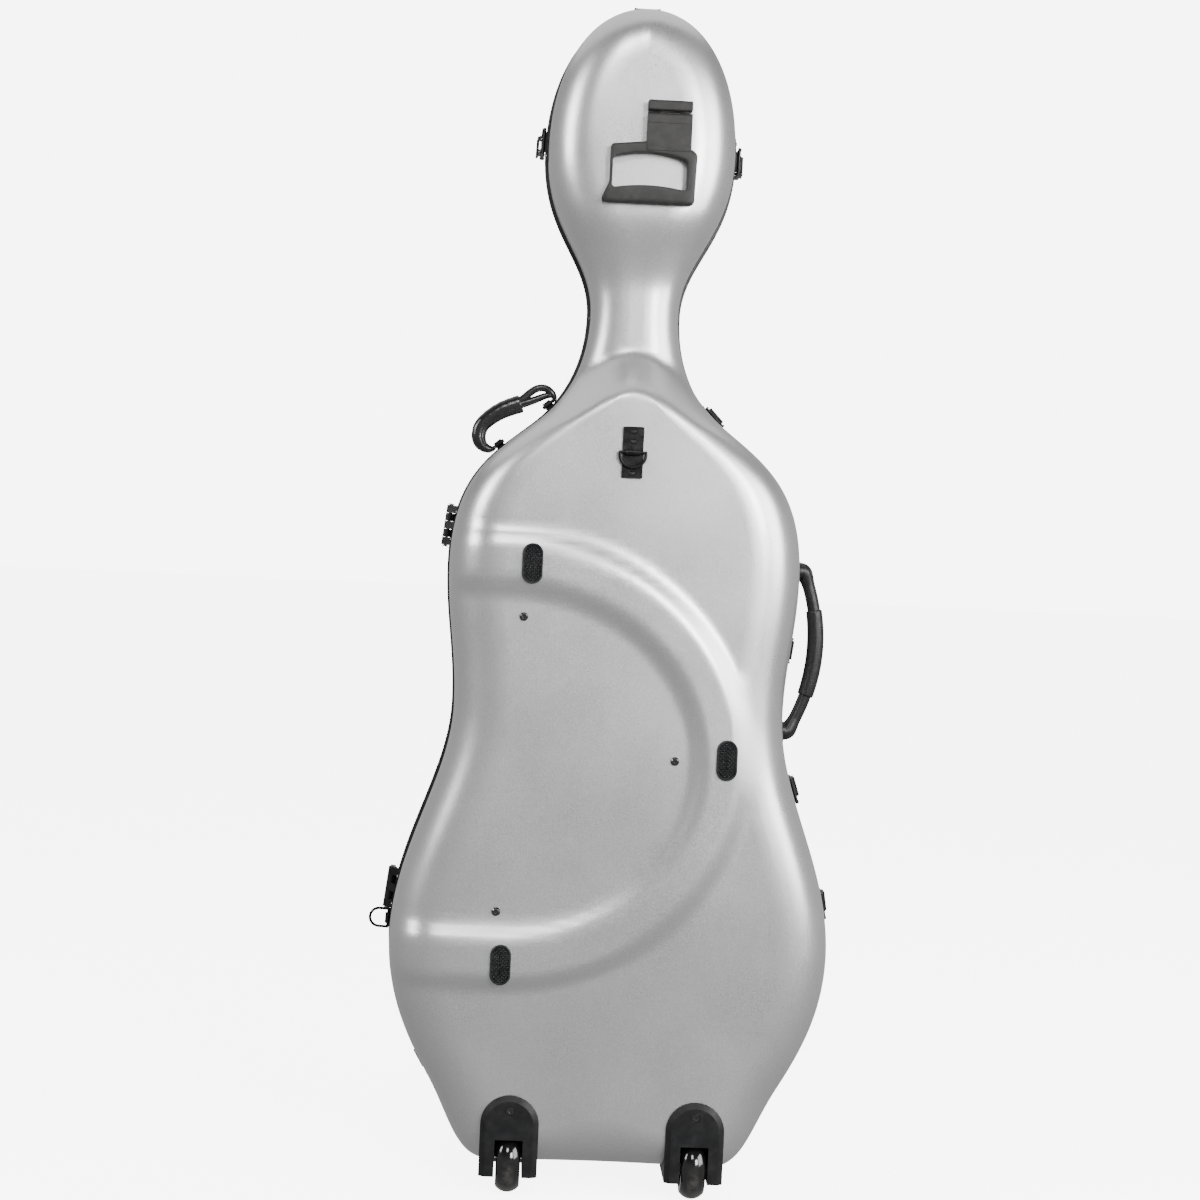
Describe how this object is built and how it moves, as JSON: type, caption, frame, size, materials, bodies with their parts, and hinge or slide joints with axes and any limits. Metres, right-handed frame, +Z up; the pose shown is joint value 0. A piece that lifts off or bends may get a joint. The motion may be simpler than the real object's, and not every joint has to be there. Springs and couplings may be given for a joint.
{
  "type": "cello hard case",
  "caption": "Hard case for a cello: moulded back shell and hinged lid with draw latches, two wheels, carrying handles, strap rings and a padded interior.",
  "frame": {"origin": "on the floor under the standing case, below the middle of the parting line's bottom edge", "axes": "+Z up from the wheels to the head; the back shell, with the crescent, faces -Y and the lid faces +Y; +X is the side of the carrying handle"},
  "size_m": [0.5375, 0.296, 1.3554],
  "materials": {
    "shell": "satin silver-grey",
    "trim": "matt black",
    "lining": "soft dark plush",
    "padding": "soft dark plush",
    "pad": "matt, diamond grid",
    "hardware": "satin black",
    "charcoal": "satin charcoal",
    "grip": "leather-grained",
    "padded_grip": "glossy, padded",
    "steel": "satin",
    "dark_steel": "dark satin",
    "screw": "black",
    "wheel": "glossy sides, matt tread",
    "hub": "gloss black",
    "webbing": "woven black"
  },
  "bodies": {
    "back": {"back_shell": "shell", "back_rim_trim": "trim", "back_liner": "lining", "back_pads": "pad", "band_screws": "screw", "neck_screws": "screw", "strap_plate": "hardware", "strap_rivets": "steel", "head_handle_mount": "charcoal", "head_handle_pin": "dark_steel", "side_handle_grip": "grip", "side_handle_ends": "grip", "shoulder_tabs": "hardware", "wheel_housings": "hardware", "wheel_axles": "steel", "housing_screws": "dark_steel", "hinge_back_leaves": "hardware", "hinge_pins": "steel", "side_ring_tab": "hardware", "latch_keepers": "hardware", "back_rivets": "steel", "neck_cradle": "padding", "neck_strap": "webbing", "bout_pads": "padding", "end_block": "padding"},
    "back_ring": {"back_ring": "dark_steel"},
    "side_ring": {"side_ring": "dark_steel"},
    "head_handle": {"head_handle": "charcoal"},
    "shoulder_handle": {"shoulder_handle": "padded_grip"},
    "wheel_left": {"tyre_left": "wheel", "hub_left": "hub"},
    "wheel_right": {"tyre_right": "wheel", "hub_right": "hub"},
    "lid": {"lid_shell": "shell", "lid_rim_trim": "trim", "lid_liner": "lining", "stand_feet": "trim", "hinge_lid_leaves": "dark_steel", "latch_bases": "hardware", "latch_pins": "steel", "lid_rivets": "steel", "bow_holders": "padding"},
    "bow_button_left": {"bow_button_left": "hardware"},
    "bow_button_right": {"bow_button_right": "hardware"},
    "latch_lever_top": {"latch_lever_top": "hardware"},
    "latch_hook_top": {"latch_hook_top": "steel"},
    "latch_lever_head_left": {"latch_lever_head_left": "hardware"},
    "latch_hook_head_left": {"latch_hook_head_left": "steel"},
    "latch_lever_head_right": {"latch_lever_head_right": "hardware"},
    "latch_hook_head_right": {"latch_hook_head_right": "steel"},
    "latch_lever_shoulder": {"latch_lever_shoulder": "hardware"},
    "latch_hook_shoulder": {"latch_hook_shoulder": "steel"},
    "latch_lever_waist": {"latch_lever_waist": "hardware"},
    "latch_hook_waist": {"latch_hook_waist": "steel"},
    "latch_lever_flank": {"latch_lever_flank": "hardware"},
    "latch_hook_flank": {"latch_hook_flank": "steel"},
    "latch_lever_bout": {"latch_lever_bout": "hardware"},
    "latch_hook_bout": {"latch_hook_bout": "steel"},
    "latch_lever_base": {"latch_lever_base": "hardware"},
    "latch_hook_base": {"latch_hook_base": "steel"}
  },
  "joints": [
    {"name": "lid_hinge", "type": "hinge", "parent": "back", "child": "lid", "pos_m": [-0.22896, 0.00015, 0.53049], "axis": [0.1161, 0, 0.9932], "range_deg": [0, 110]},
    {"name": "latch_lever_top", "type": "hinge", "parent": "lid", "child": "latch_lever_top", "pos_m": [0, 0.015, 1.349], "axis": [1, 0, 0], "range_deg": [0, 150]},
    {"name": "latch_hook_top", "type": "hinge", "parent": "latch_lever_top", "child": "latch_hook_top", "pos_m": [0, 0.023, 1.3475], "axis": [1, 0, 0], "range_deg": [-165, 0]},
    {"name": "latch_lever_head_left", "type": "hinge", "parent": "lid", "child": "latch_lever_head_left", "pos_m": [-0.11532, 0.015, 1.19037], "axis": [0.0415, 0, 0.9991], "range_deg": [0, 150]},
    {"name": "latch_hook_head_left", "type": "hinge", "parent": "latch_lever_head_left", "child": "latch_hook_head_left", "pos_m": [-0.11382, 0.023, 1.19031], "axis": [0.0415, 0, 0.9991], "range_deg": [-165, 0]},
    {"name": "latch_lever_head_right", "type": "hinge", "parent": "lid", "child": "latch_lever_head_right", "pos_m": [0.116, 0.015, 1.178], "axis": [0, 0, -1], "range_deg": [0, 150]},
    {"name": "latch_hook_head_right", "type": "hinge", "parent": "latch_lever_head_right", "child": "latch_hook_head_right", "pos_m": [0.1145, 0.023, 1.178], "axis": [0, 0, -1], "range_deg": [-165, 0]},
    {"name": "latch_lever_shoulder", "type": "hinge", "parent": "lid", "child": "latch_lever_shoulder", "pos_m": [0.10085, 0.015, 0.88221], "axis": [0.6903, 0, -0.7235], "range_deg": [0, 150]},
    {"name": "latch_hook_shoulder", "type": "hinge", "parent": "latch_lever_shoulder", "child": "latch_hook_shoulder", "pos_m": [0.09977, 0.023, 0.88118], "axis": [0.6903, 0, -0.7235], "range_deg": [-165, 0]},
    {"name": "latch_lever_waist", "type": "hinge", "parent": "lid", "child": "latch_lever_waist", "pos_m": [0.20133, 0.015, 0.61392], "axis": [-0.1197, 0, -0.9928], "range_deg": [0, 150]},
    {"name": "latch_hook_waist", "type": "hinge", "parent": "latch_lever_waist", "child": "latch_hook_waist", "pos_m": [0.19984, 0.023, 0.6141], "axis": [-0.1197, 0, -0.9928], "range_deg": [-165, 0]},
    {"name": "latch_lever_flank", "type": "hinge", "parent": "lid", "child": "latch_lever_flank", "pos_m": [0.21351, 0.015, 0.45181], "axis": [0.312, 0, -0.9501], "range_deg": [0, 150]},
    {"name": "latch_hook_flank", "type": "hinge", "parent": "latch_lever_flank", "child": "latch_hook_flank", "pos_m": [0.21208, 0.023, 0.45134], "axis": [0.312, 0, -0.9501], "range_deg": [-165, 0]},
    {"name": "latch_lever_bout", "type": "hinge", "parent": "lid", "child": "latch_lever_bout", "pos_m": [0.25374, 0.015, 0.31847], "axis": [0.163, 0, -0.9866], "range_deg": [0, 150]},
    {"name": "latch_hook_bout", "type": "hinge", "parent": "latch_lever_bout", "child": "latch_hook_bout", "pos_m": [0.25226, 0.023, 0.31822], "axis": [0.163, 0, -0.9866], "range_deg": [-165, 0]},
    {"name": "latch_lever_base", "type": "hinge", "parent": "lid", "child": "latch_lever_base", "pos_m": [-0.20829, 0.015, 0.11641], "axis": [-0.5101, 0, 0.8601], "range_deg": [0, 150]},
    {"name": "latch_hook_base", "type": "hinge", "parent": "latch_lever_base", "child": "latch_hook_base", "pos_m": [-0.207, 0.023, 0.11718], "axis": [-0.5101, 0, 0.8601], "range_deg": [-165, 0]},
    {"name": "wheel_left_spin", "type": "hinge", "parent": "back", "child": "wheel_left", "pos_m": [-0.103, -0.116, 0.036], "axis": [1, 0, 0], "continuous": true},
    {"name": "wheel_right_spin", "type": "hinge", "parent": "back", "child": "wheel_right", "pos_m": [0.103, -0.116, 0.036], "axis": [1, 0, 0], "continuous": true},
    {"name": "head_handle_hinge", "type": "hinge", "parent": "back", "child": "head_handle", "pos_m": [0.026, -0.112, 1.206], "axis": [-1, 0, 0], "range_deg": [0, 100]},
    {"name": "back_ring_hinge", "type": "hinge", "parent": "back", "child": "back_ring", "pos_m": [0, -0.14475, 0.83], "axis": [-1, 0, 0], "range_deg": [0, 150]},
    {"name": "side_ring_hinge", "type": "hinge", "parent": "back", "child": "side_ring", "pos_m": [-0.25332, -0.022, 0.28524], "axis": [0.0462, 0, 0.9989], "range_deg": [-60, 60]},
    {"name": "shoulder_handle_hinge", "type": "hinge", "parent": "back", "child": "shoulder_handle", "pos_m": [-0.12223, -0.028, 0.86191], "axis": [0.7515, 0, 0.6597], "range_deg": [0, 60]},
    {"name": "bow_button_left_turn", "type": "hinge", "parent": "lid", "child": "bow_button_left", "pos_m": [-0.062, 0.09282, 0.158], "axis": [0, 1, 0], "range_deg": [0, 90]},
    {"name": "bow_button_right_turn", "type": "hinge", "parent": "lid", "child": "bow_button_right", "pos_m": [0.062, 0.09282, 0.158], "axis": [0, 1, 0], "range_deg": [0, 90]}
  ],
  "couplings": [
    {"joint": "latch_hook_top", "follows": "latch_lever_top", "ratio": -1.1},
    {"joint": "latch_hook_head_left", "follows": "latch_lever_head_left", "ratio": -1.1},
    {"joint": "latch_hook_head_right", "follows": "latch_lever_head_right", "ratio": -1.1},
    {"joint": "latch_hook_shoulder", "follows": "latch_lever_shoulder", "ratio": -1.1},
    {"joint": "latch_hook_waist", "follows": "latch_lever_waist", "ratio": -1.1},
    {"joint": "latch_hook_flank", "follows": "latch_lever_flank", "ratio": -1.1},
    {"joint": "latch_hook_bout", "follows": "latch_lever_bout", "ratio": -1.1},
    {"joint": "latch_hook_base", "follows": "latch_lever_base", "ratio": -1.1}
  ]
}
